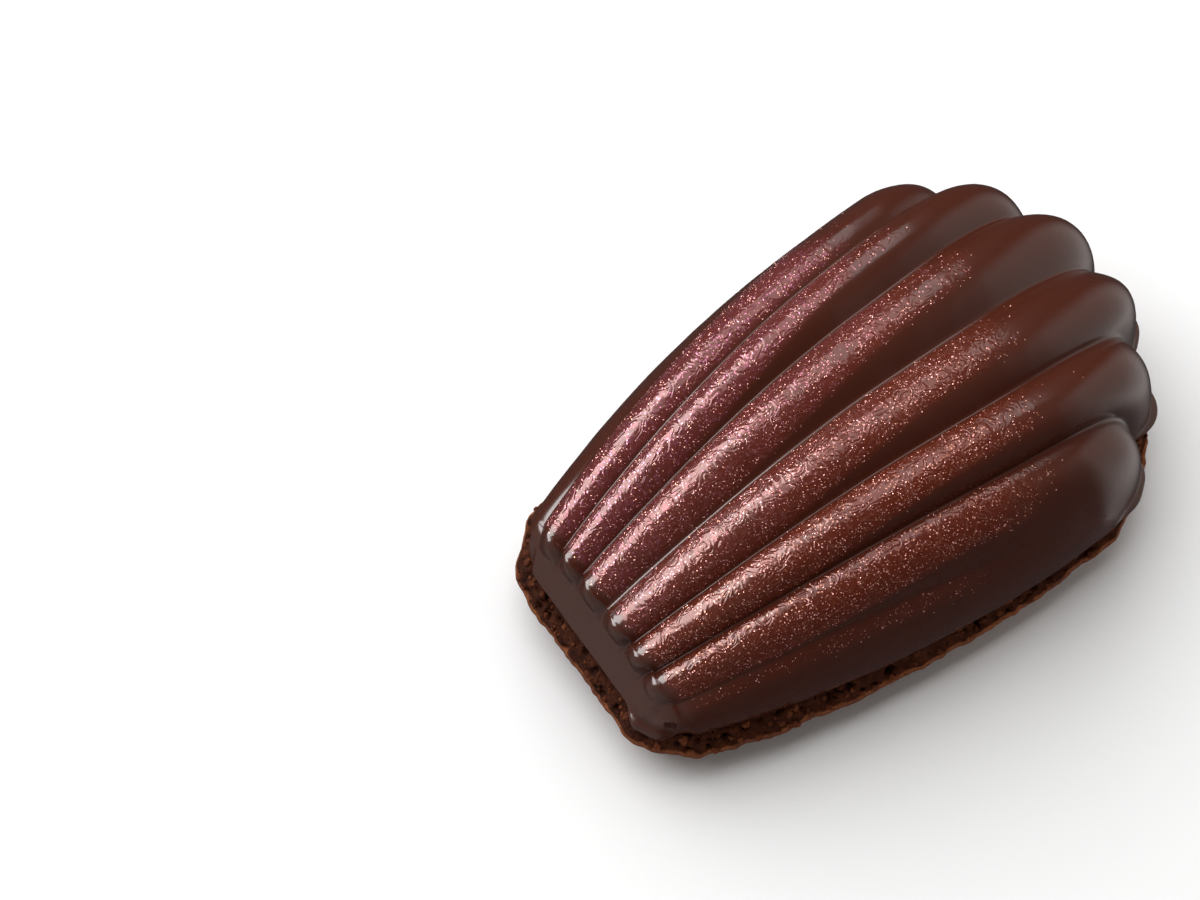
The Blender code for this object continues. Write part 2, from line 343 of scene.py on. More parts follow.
def fan_sheet(mould, rows, wall_rows, steps):
    """The smooth fan: its points, outward directions and positions, as a lattice."""
    along, lobe = fan_positions(mould, rows, wall_rows, steps)
    x, y = fan_plan(mould, along, lobe)
    place = envelope(mould, x, y)
    rim = on_rim(x.shape)
    place[rim, 2] = 0
    outward = surface_normal(mould, x, y)
    outward[rim] = outline_normal(mould, x, y)[rim]
    strides = np.linalg.norm(np.diff(place, axis=0), axis=-1)
    travel = np.vstack([np.zeros(x.shape[1]), np.cumsum(strides, axis=0)])
    return {"place": place, "outward": outward, "along": along, "lobe": lobe,
            "travel": travel - travel[wall_rows], "carve": np.ones(x.shape)}


def thinned(sheet):
    """Every second row and column of a lattice."""
    return {name: values[::2, ::2] for name, values in sheet.items()}


def moved(sheet, out, z=None, **marks):
    """A sheet or ring pushed outwards and, if z is given, laid at that height."""
    place = sheet["place"] + sheet["outward"] * np.asarray(out)[..., None]
    if z is not None:
        place[..., 2] = z
    return {**sheet, "place": place, **marks}


def border(sheet):
    """The points round the border of a lattice, in order, as a ring."""
    rows, columns = sheet["along"].shape
    row = np.concatenate([np.zeros(columns, int), np.arange(1, rows),
                          np.full(columns - 1, rows - 1), np.arange(rows - 2, 0, -1)])
    column = np.concatenate([np.arange(columns), np.full(rows - 1, columns - 1),
                             np.arange(columns - 2, -1, -1), np.zeros(rows - 2, int)])
    return {name: values[row, column] for name, values in sheet.items()}, row * columns + column


def grid_faces(start, rows, columns):
    """Squares between the points of a lattice whose numbers begin at start."""
    number = start + np.arange(rows * columns).reshape(rows, columns)
    corners = (number[:-1, :-1], number[:-1, 1:], number[1:, 1:], number[1:, :-1])
    return np.stack(corners, axis=-1).reshape(-1, 4).tolist()


def ring_faces(one, other):
    """Faces between two rings; the second may have half as many points."""
    if len(one) == len(other):
        return np.stack([one, other, np.roll(other, -1), np.roll(one, -1)], axis=-1).tolist()
    first, middle, last = one[::2], one[1::2], np.roll(one[::2], -1)
    after = np.roll(other, -1)
    sides = ((first, other, middle), (middle, other, after), (middle, after, last))
    return np.concatenate([np.stack(side, axis=-1) for side in sides]).tolist()


def make_body(name, dense, rings, sparse):
    """One closed mesh: a dense sheet, rings down from its border, and a sparse sheet."""
    parts = [dense, *rings, sparse]
    starts = np.cumsum([0] + [part["along"].size for part in parts])
    _, rim = border(dense)
    _, far_rim = border(sparse)
    loops = [rim, *(start + np.arange(len(rim)) for start in starts[1:-2]), starts[-2] + far_rim]
    faces = grid_faces(0, *dense["along"].shape) + grid_faces(int(starts[-2]), *sparse["along"].shape)
    for one, other in zip(loops, loops[1:]):
        faces += ring_faces(one, other)

    place = np.concatenate([part["place"].reshape(-1, 3) for part in parts])
    mesh = bpy.data.meshes.new(name)
    mesh.from_pydata((place + np.array(MOULD_ORIGIN)).tolist(), [], faces)
    for mark in sorted(set(dense) - {"place"}):
        kind, field, width = ("FLOAT_VECTOR", "vector", 3) if mark == "outward" else ("FLOAT", "value", 1)
        values = np.concatenate([part[mark].reshape(-1, width) for part in parts])
        layer = mesh.attributes.new(mark, kind, "POINT")
        layer.data.foreach_set(field, values.astype(np.float32).ravel())
    recalculate_normals(mesh)
    thing = bpy.data.objects.new(name, mesh)
    bpy.context.scene.collection.objects.link(thing)
    return thing


def recalculate_normals(mesh):
    """Turn all the faces of a closed mesh outwards and shade it smooth."""
    bm = bmesh.new()
    bm.from_mesh(mesh)
    bmesh.ops.recalc_face_normals(bm, faces=bm.faces)
    bm.to_mesh(mesh)
    bm.free()
    mesh.shade_smooth()


# --- Node trees --------------------------------------------------------------

class Field:
    """One output of a node, so that node maths reads as plain arithmetic."""

    def __init__(self, tree, node, output):
        self.tree = tree
        self.node = node
        self.socket = node.outputs[output]

    def maths(self, operation, *values, **settings):
        inputs = dict(enumerate(values))
        return self.tree.add("ShaderNodeMath", {"operation": operation, **settings}, inputs)

    def __add__(self, other):
        return self.maths("ADD", self, other)

    def __sub__(self, other):
        return self.maths("SUBTRACT", self, other)

    def __rsub__(self, other):
        return self.maths("SUBTRACT", other, self)

    def __mul__(self, other):
        return self.maths("MULTIPLY", self, other)

    def __truediv__(self, other):
        return self.maths("DIVIDE", self, other)

    def __rtruediv__(self, other):
        return self.maths("DIVIDE", other, self)

    def __pow__(self, other):
        return self.maths("POWER", self, other)

    def __abs__(self):
        return self.maths("ABSOLUTE", self)

    __radd__ = __add__
    __rmul__ = __mul__

    def clipped(self):
        """The value held between 0 and 1."""
        return self.maths("ADD", self, 0, use_clamp=True)

    def floor(self):
        return self.maths("FLOOR", self)

    def sine(self):
        return self.maths("SINE", self)

    def above(self, limit):
        """1 where the value is over the limit, and 0 elsewhere."""
        return self.maths("GREATER_THAN", self, limit)

    def step(self, low, high):
        """A smooth step from 0 at low to 1 at high, which may be the smaller."""
        if isinstance(low, float) and isinstance(high, (int, float)) and low > high:
            return 1 - self.step(high, low)
        return self.tree.add("ShaderNodeMapRange", {"interpolation_type": "SMOOTHSTEP"},
                             {0: self, 1: low, 2: high})

    def scaled(self, factor):
        """A vector times a number."""
        return self.tree.add("ShaderNodeVectorMath", {"operation": "SCALE"},
                             {"Vector": self, "Scale": factor})

    def other(self, output):
        """Another output of the same node."""
        return Field(self.tree, self.node, output)


class Tree:
    """A node tree that is being built."""

    def __init__(self, node_tree):
        self.node_tree = node_tree

    def add(self, kind, settings=None, inputs=None, output=0):
        """Add a node: its settings first, then the values or links of its sockets."""
        node = self.node_tree.nodes.new(kind)
        for name, value in (settings or {}).items():
            setattr(node, name, value)
        for key, value in (inputs or {}).items():
            if isinstance(value, Field):
                self.node_tree.links.new(value.socket, node.inputs[key])
            else:
                node.inputs[key].default_value = value
        return Field(self, node, output)

    def noise(self, place, size, detail=2.0, distortion=0.0):
        """Soft noise between 0 and 1 whose swells are about size wide."""
        return self.add("ShaderNodeTexNoise", {}, {
            "Vector": place, "Scale": 1 / size, "Detail": detail, "Distortion": distortion})

    def cells(self, place, size, feature="F1"):
        """Distance in cells of about that size; its colour differs from cell to cell."""
        return self.add("ShaderNodeTexVoronoi", {"feature": feature}, {
            "Vector": place, "Scale": 1 / size})

    def mix_colour(self, factor, one, other):
        """One colour turning into the other as the factor goes from 0 to 1."""
        sockets = {6: one, 7: other}
        sockets = {key: value if isinstance(value, Field) else (*value, 1)
                   for key, value in sockets.items()}
        return self.add("ShaderNodeMix", {"data_type": "RGBA"}, {0: factor, **sockets}, 2)


class MaterialTree(Tree):
    """The nodes of a material with one Principled shader."""

    def __init__(self, name, **constants):
        self.material = bpy.data.materials.new(name)
        self.material.use_nodes = True
        super().__init__(self.material.node_tree)
        self.shader = self.node_tree.nodes["Principled BSDF"]
        for socket, value in constants.items():
            self.shader.inputs[socket.replace("_", " ")].default_value = value

    def mark(self, name):
        """A number stored on the mesh's points."""
        return self.add("ShaderNodeAttribute", {"attribute_name": name}, {}, "Fac")

    def place(self):
        """The object's own coordinates."""
        return self.add("ShaderNodeTexCoord", {}, {}, "Object")

    def finish(self, **sockets):
        """Link what varies over the surface to the shader."""
        for name, field in sockets.items():
            self.node_tree.links.new(field.socket, self.shader.inputs[name.replace("_", " ")])
        return self.material

    def bump(self, height, depth):
        """A normal from a height between 0 and 1 that stands for a depth in metres."""
        return self.add("ShaderNodeBump", {}, {"Height": height, "Distance": depth}, "Normal")


SOCKET_KINDS = {float: "NodeSocketFloat", int: "NodeSocketInt"}


class GeometryTree(Tree):
    """A Geometry Nodes tree with named inputs for its sizes."""

    def __init__(self, name, **inputs):
        super().__init__(bpy.data.node_groups.new(name, "GeometryNodeTree"))
        interface = self.node_tree.interface
        interface.new_socket("Geometry", in_out="INPUT", socket_type="NodeSocketGeometry")
        interface.new_socket("Geometry", in_out="OUTPUT", socket_type="NodeSocketGeometry")
        for key, value in inputs.items():
            kind = SOCKET_KINDS.get(type(value), "NodeSocketMaterial")
            interface.new_socket(key.replace("_", " ").capitalize(), in_out="INPUT", socket_type=kind)
        self.values = inputs
        self.start = self.node_tree.nodes.new("NodeGroupInput")

    def given(self, name="Geometry"):
        """One of the tree's own inputs."""
        return Field(self, self.start, name.replace("_", " ").capitalize())

    def mark(self, name, kind="FLOAT"):
        """A number or vector stored on the mesh's points."""
        return self.add("GeometryNodeInputNamedAttribute", {"data_type": kind}, {"Name": name})

    def place(self):
        return self.add("GeometryNodeInputPosition")

    def store(self, geometry, name, value, domain="POINT"):
        """Keep a number on the mesh under a name."""
        return self.add("GeometryNodeStoreNamedAttribute", {"data_type": "FLOAT", "domain": domain},
                        {"Geometry": geometry, "Name": name, "Value": value})

    def finish(self, geometry):
        """Realize what is instanced, give it the material and end the tree."""
        solid = self.add("GeometryNodeRealizeInstances", {}, {"Geometry": geometry})
        dressed = self.add("GeometryNodeSetMaterial", {}, {
            "Geometry": solid, "Material": self.given("Material")})
        end = self.node_tree.nodes.new("NodeGroupOutput")
        self.node_tree.links.new(dressed.socket, end.inputs["Geometry"])

    def run_on(self, thing):
        """Run the tree on an object and keep the result as its plain mesh."""
        modifier = thing.modifiers.new(self.node_tree.name, "NODES")
        modifier.node_group = self.node_tree
        names = {key.replace("_", " ").capitalize(): value for key, value in self.values.items()}
        for item in self.node_tree.interface.items_tree:
            if item.in_out == "INPUT" and item.name in names:
                modifier[item.identifier] = names[item.name]
        graph = bpy.context.evaluated_depsgraph_get()
        made = bpy.data.meshes.new_from_object(
            thing.evaluated_get(graph), preserve_all_data_layers=True, depsgraph=graph)
        thing.modifiers.remove(modifier)
        made.name = thing.name
        thing.data = made


# --- Chocolate shell ---------------------------------------------------------

# The shell's lower edge from its outside round to its inside: out and up, in mm
STRAIGHT_EDGE = ((0, 0.55), (-0.02, 0.35), (-0.09, 0.16), (-0.25, 0.04), (-0.6, 0),
                 (-0.95, 0.04), (-1.11, 0.2), (-1.2, 0.5))
FOOT_EDGE = ((0.15, 0.62), (0.5, 0.42), (0.9, 0.3), (1.1, 0.14), (0.95, 0), (0.3, -0.05),
             (-0.6, 0), (-1.2, 0.5))
DRIP_EDGE = ((0.7, 0.72), (1.6, 0.4), (2.3, -0.5), (2.5, -2.0), (2.2, -3.4), (1.5, -3.3),
             (0, -1.2), (-1.2, 0.4))
EDGE_RINGS = 15
FOOT_BEGINS, FOOT_FULL = 54 * MM, 64 * MM
# Where the coating ran down: along, across, half width and share of the full drip
DRIPS = ((0.6, -12.4, 4.4, 0.5), (22, 20.5, 7.0, 0.35), (58, 23.5, 6.0, 0.4))


def smooth_through(points, count):
    """A smooth line of that many points through a few given ones."""
    points = np.array(points, float) * MM
    ends = np.vstack([2 * points[0] - points[1], points, 2 * points[-1] - points[-2]])
    at = np.linspace(0, len(points) - 1, count)
    first = np.minimum(at.astype(int), len(points) - 2)
    t = (at - first)[:, None]
    a, b, c, d = (ends[first + step] for step in range(4))
    return b + t / 2 * (c - a + t * (2 * a - 5 * b + 4 * c - d + t * (3 * (b - c) + d - a)))


def swell(place, size):
    """Slow noise between -1 and 1 at each point."""
    return np.array([noise.noise(Vector(point) / size) for point in place])


def smooth_step(values, low, high):
    """A smooth step from 0 at low to 1 at high."""
    t = np.clip((values - low) / (high - low), 0, 1)
    return t * t * (3 - 2 * t)


def shell_edge_rings(chocolate, sheet):
    """Rings from the shell's outside, round its lower edge, to its inside."""
    ring, _ = border(sheet)
    x, y = ring["place"][:, 0], ring["place"][:, 1]
    wave = swell(ring["place"], 7 * MM) * chocolate.edge_wave
    foot = smooth_step(x, FOOT_BEGINS, FOOT_FULL) * chocolate.foot / (1.1 * MM)
    off_crest = np.abs(2 * (ring["lobe"] % 1) - 1)
    foot = foot * (0.75 + 0.45 * swell(ring["place"], 4 * MM)) * (1 - 0.85 * off_crest ** 2)
    drip = np.zeros(len(x))
    for along, across, reach, fullness in DRIPS:
        near = 1 - np.hypot(x - along * MM, y - across * MM) / (reach * MM)
        drip = np.maximum(drip, fullness * smooth_step(near, 0, 0.75))
    shapes = [smooth_through(shape, EDGE_RINGS) for shape in (STRAIGHT_EDGE, FOOT_EDGE, DRIP_EDGE)]
    rings = []
    for straight, footed, dripped in zip(*shapes):
        profile = straight + (footed - straight) * foot[:, None]
        profile = profile + (dripped - profile) * drip[:, None]
        low = 1 - np.clip(profile[:, 1] / chocolate.edge, 0, 1)
        rings.append(moved(ring, profile[:, 0], profile[:, 1] + wave * low,
                           carve=1 - 0.45 * np.clip(foot, 0, 1) * low))
    return rings


def rib_tree(mould, chocolate, material):
    """Carves the grooves between the ribs into the smooth fan, and marks the dust."""
    tree = GeometryTree(
        "rib_mould", depth_narrow=mould.depth_narrow, depth_wide=mould.depth_wide,
        rib_power=mould.rib_power, flank_power=mould.flank_power,
        outer_share=mould.outer_share, groove_radius=mould.groove_radius,
        nose=mould.nose, nose_lead=mould.nose_lead, top_height=mould.narrow_height + chocolate.edge,
        rim_height=MOULD_ORIGIN.z, unevenness=chocolate.unevenness, material=material)
    along, lobe, carve = tree.mark("along"), tree.mark("lobe"), tree.mark("carve")
    place = tree.place()
    height = tree.add("ShaderNodeSeparateXYZ", {}, {0: place}, "Z") - tree.given("rim_height")

    off_middle = abs(lobe)
    flank = (off_middle - RIBS / 2).clipped()
    outer = (off_middle - (RIBS / 2 - 1)).clipped()
    wide, narrow = tree.given("depth_wide"), tree.given("depth_narrow")
    depth = narrow + (wide - narrow) * along.clipped()
    depth = depth * (1 - (1 - tree.given("outer_share")) * outer)
    depth = depth * (1 - outer * along.step(0.45, 0.9) * 0.85)

    part = lobe - lobe.floor()
    radius = tree.given("groove_radius")
    from_groove = 1 - abs(part * 2 - 1)
    from_groove = (from_groove * from_groove + radius * radius) ** 0.5
    rib_groove = (1 - from_groove).clipped() ** tree.given("rib_power")
    off_rib = (flank * flank + radius * radius * 0.25) ** 0.5
    flank_groove = (1 - off_rib).clipped() ** tree.given("flank_power")
    on_flank = flank.above(0)
    groove = rib_groove * (1 - on_flank) + flank_groove * on_flank

    short = 1 - ((tree.mark("travel") + tree.given("nose_lead")) / tree.given("nose")).clipped()
    nose = (1 - short * short) ** 0.5
    nose = nose + (1 - nose) * flank.step(0.0, 0.6)
    lift = (height / tree.given("top_height")).clipped()
    inset = depth * (nose * groove + (1 - nose) * lift)
    uneven = (tree.noise(place, 9 * MM) - 0.5) * 2 * tree.given("unevenness")
    offset = tree.mark("outward", "FLOAT_VECTOR").scaled((uneven - inset) * carve)
    carved = tree.add("GeometryNodeSetPosition", {}, {"Geometry": tree.given(), "Offset": offset})

    patchy = tree.noise(place, 5 * MM, detail=3.0)
    bare = along.step(0.2, 0.7) * lobe.step(2.1, 1.6) * 0.34
    on_rib = (part - bare).step(0.0, 0.12) * part.step(1.0, 0.9) * (1 - on_flank)
    on_flank = 0.32 * flank.step(0.02, 0.2) * flank.step(0.62, 0.3) * lobe.step(0.5, -0.5)
    ends = (along + patchy * 0.3).step(0.97, 0.74) * along.step(0.0, 0.02)
    dust = (on_rib + on_flank) * ends * (0.45 + patchy * 1.1)
    marked = tree.store(carved, "dust", dust.clipped())
    tree.finish(tree.store(marked, "groove", groove))
    return tree


def chocolate_material(mould, chocolate):
    """Glossy dark chocolate, with rubbed-in lustre, fine ripples on the ribs and a faint painted
    highlight along the ripples.
    """
    tree = MaterialTree("dark_chocolate", IOR=1.5)
    place, dust, along = tree.place(), tree.mark("dust"), tree.mark("along")
    patchy = tree.noise(place, 2.2 * MM, detail=4.0)
    rubbed = (dust * (0.35 + patchy * 1.1)).clipped()

    cells = tree.cells(place, 0.36 * MM)
    chance = tree.add("ShaderNodeSeparateColor", {}, {0: cells.other("Color")}, "Red")
    fleck = (chance + rubbed * 0.5).above(0.95) * (1 - cells.above(0.27)) * dust.above(0.08)
    across = tree.mark("lobe") + (tree.noise(place, 9 * MM) - 0.5) * 2.5
    pinkness = (across - along * 2.2).step(-2.6, 1.2)
    sheen = tree.mix_colour(pinkness, chocolate.copper, chocolate.pearl)
    body = tree.mix_colour(rubbed, chocolate.dark, chocolate.warm)
    body = tree.mix_colour(rubbed * pinkness * 0.05, body, sheen)

    swirls = tree.noise(place, 2.2 * MM, detail=1.0, distortion=1.0)
    wave = (swirls * 34).sine()
    # Lines along the ripple crests: extra metal there is the lustre's own, the sheen colour in the base
    # is a painted highlight
    ripple_lustre_and_glint = wave.step(0.80, 0.97) * rubbed * tree.noise(place, 1.1 * MM).step(0.4, 0.6)
    # Painted highlight: sheen colour mixed into the base along the ripple crests
    body = tree.mix_colour(ripple_lustre_and_glint * 0.15, body, sheen)
    body = tree.mix_colour(fleck * 0.8, body, sheen)
    ripples = (wave * 0.5 + 0.5) * rubbed
    holes = (1 - tree.cells(place, 3.1 * MM).step(0.0, 0.045)) * dust.above(0.1)
    relief = ripples * 0.55 + tree.noise(place, 0.5 * MM) * 0.12 * rubbed - holes * 3.0
    return tree.finish(
        Base_Color=body,
        Metallic=(rubbed * 0.22 + ripple_lustre_and_glint * 0.15 + fleck * 0.5).clipped(),
        Roughness=chocolate.gloss + tree.noise(place, 6 * MM) * 0.06,
        Normal=tree.bump(relief, 0.08 * MM))


class MADELEINE_OT_chocolate_shell(bpy.types.Operator):
    """Build the ribbed chocolate shell with its wavy edge, foot and drips"""

    bl_idname = "madeleine.chocolate_shell"
    bl_label = "Chocolate shell"

    def execute(self, context):
        settings = context.scene.madeleine
        mould, chocolate = settings.mould, settings.chocolate
        sheet = moved(fan_sheet(mould, rows=257, wall_rows=24, steps=27), 0)
        sheet["place"][..., 2] += chocolate.edge
        inside = thinned(moved(sheet, -chocolate.thickness))
        shell = make_body("ribbed_chocolate", sheet, shell_edge_rings(chocolate, sheet), inside)
        rib_tree(mould, chocolate, chocolate_material(mould, chocolate)).run_on(shell)
        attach(shell, "root")
        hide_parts("chocolate_shell")
        return {"FINISHED"}


# --- Sponge ------------------------------------------------------------------

# The band from the hump up to the shell: out from the crust's edge and up, in mm
BAND_SHAPE = ((-0.6, -4.8), (-0.2, -4.3), (0, -3.7), (-0.02, -3.2), (-0.3, -2.7),
              (-0.7, -2.1), (-1.1, -1.4), (-1.5, -0.8), (-2.2, -0.4), (-3.2, 0))
BAND_RINGS = 24
CORE_SHARE = 0.84


def hump_sheet(mould, sponge, sheet):
    """The sponge's baked side: a dome that ends in a small flat spot."""
    x, y = sheet["place"][..., 0], sheet["place"][..., 1]
    reach = np.where(x < sponge.hump_at, sponge.hump_at, mould.length - sponge.hump_at)
    lengthways = 1 - np.clip(np.abs(x - sponge.hump_at) / reach, 0, 1) ** HUMP_POWER
    dome = lengthways ** (1 / HUMP_ROUNDNESS) * section(mould, x, y, HUMP_POWER, HUMP_ROUNDNESS)
    drop = np.minimum(FLAT_SPOT_CUT * dome, 1) * sponge.hump
    low_x = sponge.hump_at + (x - sponge.hump_at) * sponge.hump_share
    place = np.stack([low_x, y * sponge.hump_share, -sponge.band - drop], axis=-1)
    return {**sheet, "place": place, "crumb": np.zeros(x.shape)}


def band_rings(mould, sponge, foot):
    """Rings from the hump's border up the crust, over the torn ledge, under the shell."""
    ring, _ = border(foot)
    out = ledge_width(mould, sponge, ring["place"][:, 0])
    wander = (swell(ring["place"], 5 * MM) * 0.4 + swell(ring["place"], 2.3 * MM) * 0.25
              + swell(ring["place"], 0.9 * MM) * 0.15) * MM
    rings = []
    for step, (beside, up) in enumerate(smooth_through(BAND_SHAPE, BAND_RINGS)):
        torn = smooth_step(np.full(len(out), up), -3.3 * MM, -2.6 * MM)
        rings.append(moved(ring, out + beside + wander, up, crumb=torn))
    return rings


def ledge_width(mould, sponge, x):
    """How far the sponge stands out from the shell at a distance from the narrow end."""
    along = np.clip(x / mould.length, 0, 1)
    return sponge.out_narrow + (sponge.out_wide - sponge.out_narrow) * along


def sponge_tree(sponge, material):
    """Roughens the torn crumb with pores and swells the crust a little."""
    tree = GeometryTree("sponge_crumb", pore=sponge.pore, pore_depth=sponge.pore_depth,
                        roughness=0.5 * MM, swell=0.25 * MM, material=material)
    place, crumb = tree.place(), tree.mark("crumb")
    warped = tree.add("ShaderNodeVectorMath", {"operation": "ADD"}, {
        0: place, 1: tree.noise(place, 1.1 * MM).other("Color").scaled(0.9 * MM)})
    cells = tree.add("ShaderNodeTexVoronoi", {}, {"Vector": warped, "Scale": 1 / tree.given("pore")})
    chance = tree.noise(place, 2.5 * MM)
    pore = (1 - cells.step(0.12, 0.5)) * chance.step(0.38, 0.56) * crumb
    rough = tree.noise(place, 0.8 * MM, detail=3.0) - 0.5
    height = tree.add("ShaderNodeSeparateXYZ", {}, {0: place}, "Z")
    lifted = height.step(0.0, 1.5 * MM)
    slow = (tree.noise(place, 14 * MM) - 0.5) * tree.given("swell") * lifted
    offset = slow + rough * (crumb * tree.given("roughness") + 0.04 * MM * lifted)
    offset = offset - pore * tree.given("pore_depth")
    normal = tree.add("GeometryNodeInputNormal")
    rough_body = tree.add("GeometryNodeSetPosition", {}, {
        "Geometry": tree.given(), "Offset": normal.scaled(offset)})
    # The pore mask is kept so that the material can paint shade into the pores
    tree.finish(tree.store(rough_body, "pit", pore))
    return tree


def sponge_material(sponge):
    """Baked crust with fine wrinkles, a toasted rim and an open crumb whose pores are painted dark with
    shade.
    """
    tree = MaterialTree("chocolate_sponge", IOR=1.4, Specular_IOR_Level=0.06)
    place, crumb, pit = tree.place(), tree.mark("crumb"), tree.mark("pit")
    mottle = tree.noise(place, 1.2 * MM, detail=4.0)
    cells = tree.cells(place, 0.55 * MM)
    # The crumb is mottled between its own colour and the painted pore shade
    open_crumb = tree.mix_colour((mottle * 1.5 - 0.25).clipped(), sponge.pit, sponge.crumb)
    small_pores = (1 - cells.step(0.1, 0.34)) * mottle.step(0.5, 0.62)
    # Large and small pores are painted with the pore shade colour
    open_crumb = tree.mix_colour((pit * 1.4 + small_pores * crumb).clipped(), open_crumb, sponge.pit)
    browned = tree.noise(place, 9 * MM, detail=3.0).step(0.3, 0.7)
    crust = tree.mix_colour(browned * 0.6, sponge.crust, sponge.rim)
    # The crust's small pores are painted with the pore shade colour too
    crust = tree.mix_colour(small_pores * 0.7, crust, sponge.pit)
    rim = crumb.step(0.0, 0.35) * crumb.step(0.95, 0.5)
    body = tree.mix_colour(crumb.step(0.35, 0.8), crust, open_crumb)
    body = tree.mix_colour(rim * mottle.step(0.35, 0.65), body, sponge.rim)

    swirls = tree.noise(place, 0.9 * MM, detail=1.5, distortion=0.8)
    wrinkles = (swirls * 34).sine() * 0.5 + 0.5
    relief = wrinkles * 0.5 + mottle - small_pores * 1.5 + tree.noise(place, 0.25 * MM) * crumb
    return tree.finish(
        Base_Color=body,
        Roughness=0.52 + crumb * 0.3 + mottle * 0.1,
        Normal=tree.bump(relief, 0.12 * MM))


class MADELEINE_OT_sponge(bpy.types.Operator):
    """Build the sponge with its torn ledge and baked hump"""

    bl_idname = "madeleine.sponge"
    bl_label = "Sponge"

    def execute(self, context):
        settings = context.scene.madeleine
        mould, chocolate, sponge = settings.mould, settings.chocolate, settings.sponge
        sheet = fan_sheet(mould, rows=201, wall_rows=16, steps=20)
        level = {**sheet, "crumb": np.zeros(sheet["along"].shape)}
        foot = moved(level, ledge_width(mould, sponge, level["place"][..., 0]) - sponge.tuck,
                     -sponge.band)
        hump = hump_sheet(mould, sponge, level)
        rim = on_rim(level["along"].shape)
        hump["place"][rim] = foot["place"][rim]
        middle = np.array((mould.length / 2, 0, 0))
        inside = thinned(level)
        inside["place"] = middle + (inside["place"] - middle) * CORE_SHARE
        body = make_body("chocolate_sponge", hump, band_rings(mould, sponge, level), inside)
        sponge_tree(sponge, sponge_material(sponge)).run_on(body)
        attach(body, "root")
        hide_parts("sponge_cake")
        return {"FINISHED"}


# --- Scattered pieces --------------------------------------------------------

def scatter(tree, density, grain, scale, turned):
    """Grains scattered over the tree's own surface, as instances."""
    points = tree.add("GeometryNodeDistributePointsOnFaces", {}, {
        "Mesh": tree.given(), "Density": density, "Seed": tree.given("seed")})
    turn = tree.add("FunctionNodeRotateRotation", {"rotation_space": "LOCAL"}, {
        "Rotation": points.other("Rotation"), "Rotate By": turned})
    return tree.add("GeometryNodeInstanceOnPoints", {}, {
        "Points": points, "Instance": grain, "Rotation": turn, "Scale": scale})


def random_between(tree, low, high, seed):
    """A random number for each point."""
    return tree.add("FunctionNodeRandomValue", {"data_type": "FLOAT"}, {
        "Min": low, "Max": high, "Seed": seed}, "Value")


def lustre_tree(lustre, material):
    """Tiny metallic flakes where the shell is dusted."""
    tree = GeometryTree("lustre_dust", density=lustre.density / MM ** 2, flake=lustre.flake,
                        tilt=lustre.tilt, seed=lustre.seed, material=material)
    dust, place = tree.mark("dust"), tree.place()
    clumps = tree.noise(place, 1.6 * MM, detail=3.0).step(0.3, 0.72)
    density = tree.given("density") * dust * (0.25 + clumps)
    flake = tree.add("GeometryNodeMeshUVSphere", {}, {"Segments": 6, "Rings": 2, "Radius": 0.5})
    flake = tree.add("GeometryNodeTransform", {}, {"Geometry": flake, "Scale": (1, 1, 0.22)})
    size = tree.given("flake") * random_between(tree, 0.62, 1.0, 1) ** 2.0
    tilt = tree.given("tilt")
    lean = tree.add("ShaderNodeCombineXYZ", {}, {
        0: random_between(tree, -1.0, 1.0, 2) * tilt, 1: random_between(tree, -1.0, 1.0, 3) * tilt,
        2: random_between(tree, 0.0, 2 * math.pi, 4)})
    flakes = scatter(tree, density, flake, size, lean)
    tinted = tree.store(flakes, "tint", random_between(tree, 0.0, 1.0, 5), "INSTANCE")
    tree.finish(tinted)
    return tree


def lustre_material(lustre):
    """Copper and pink metal, a shade to each flake."""
    tree = MaterialTree("lustre_flakes", Metallic=0.6)
    tint, place = tree.mark("tint"), tree.place()
    shade = (tint * 0.8 + tree.noise(place, 12 * MM) * 0.5 - 0.15).clipped()
    body = tree.mix_colour(shade, lustre.copper, lustre.pink)
    return tree.finish(Base_Color=body, Roughness=0.25 + tint * 0.2)


class MADELEINE_OT_lustre(bpy.types.Operator):
    """Scatter the metallic flakes over the dusted ribs"""

    bl_idname = "madeleine.lustre"
    bl_label = "Lustre dust"

    def execute(self, context):
        lustre = context.scene.madeleine.lustre
        flakes = copy_of("ribbed_chocolate", "lustre_flakes")
        lustre_tree(lustre, lustre_material(lustre)).run_on(flakes)
        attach(flakes, "root")
        return {"FINISHED"}


def crumb_tree(crumbs, material):
    """Loose, lumpy crumbs on the torn ledge."""
    tree = GeometryTree("loose_crumbs", density=crumbs.density / MM ** 2, size=crumbs.size,
                        seed=crumbs.seed, material=material)
    crumb = tree.mark("crumb")
    grain = tree.add("GeometryNodeMeshIcoSphere", {}, {"Radius": 0.5, "Subdivisions": 3})
    size = tree.given("size") * random_between(tree, 0.45, 1.0, 1) ** 2.5
    turned = tree.add("ShaderNodeCombineXYZ", {}, {
        axis: random_between(tree, 0.0, 2 * math.pi, 2 + axis) for axis in range(3)})
    grains = scatter(tree, tree.given("density") * crumb.step(0.1, 0.4), grain, size, turned)
    whole = tree.add("GeometryNodeRealizeInstances", {}, {"Geometry": grains})
    place = tree.place()
    lumps = (tree.noise(place, 0.45 * MM, detail=3.0) - 0.5) * 1.1 * MM
    normal = tree.add("GeometryNodeInputNormal")
    tree.finish(tree.add("GeometryNodeSetPosition", {}, {
        "Geometry": whole, "Offset": normal.scaled(lumps)}))
    return tree


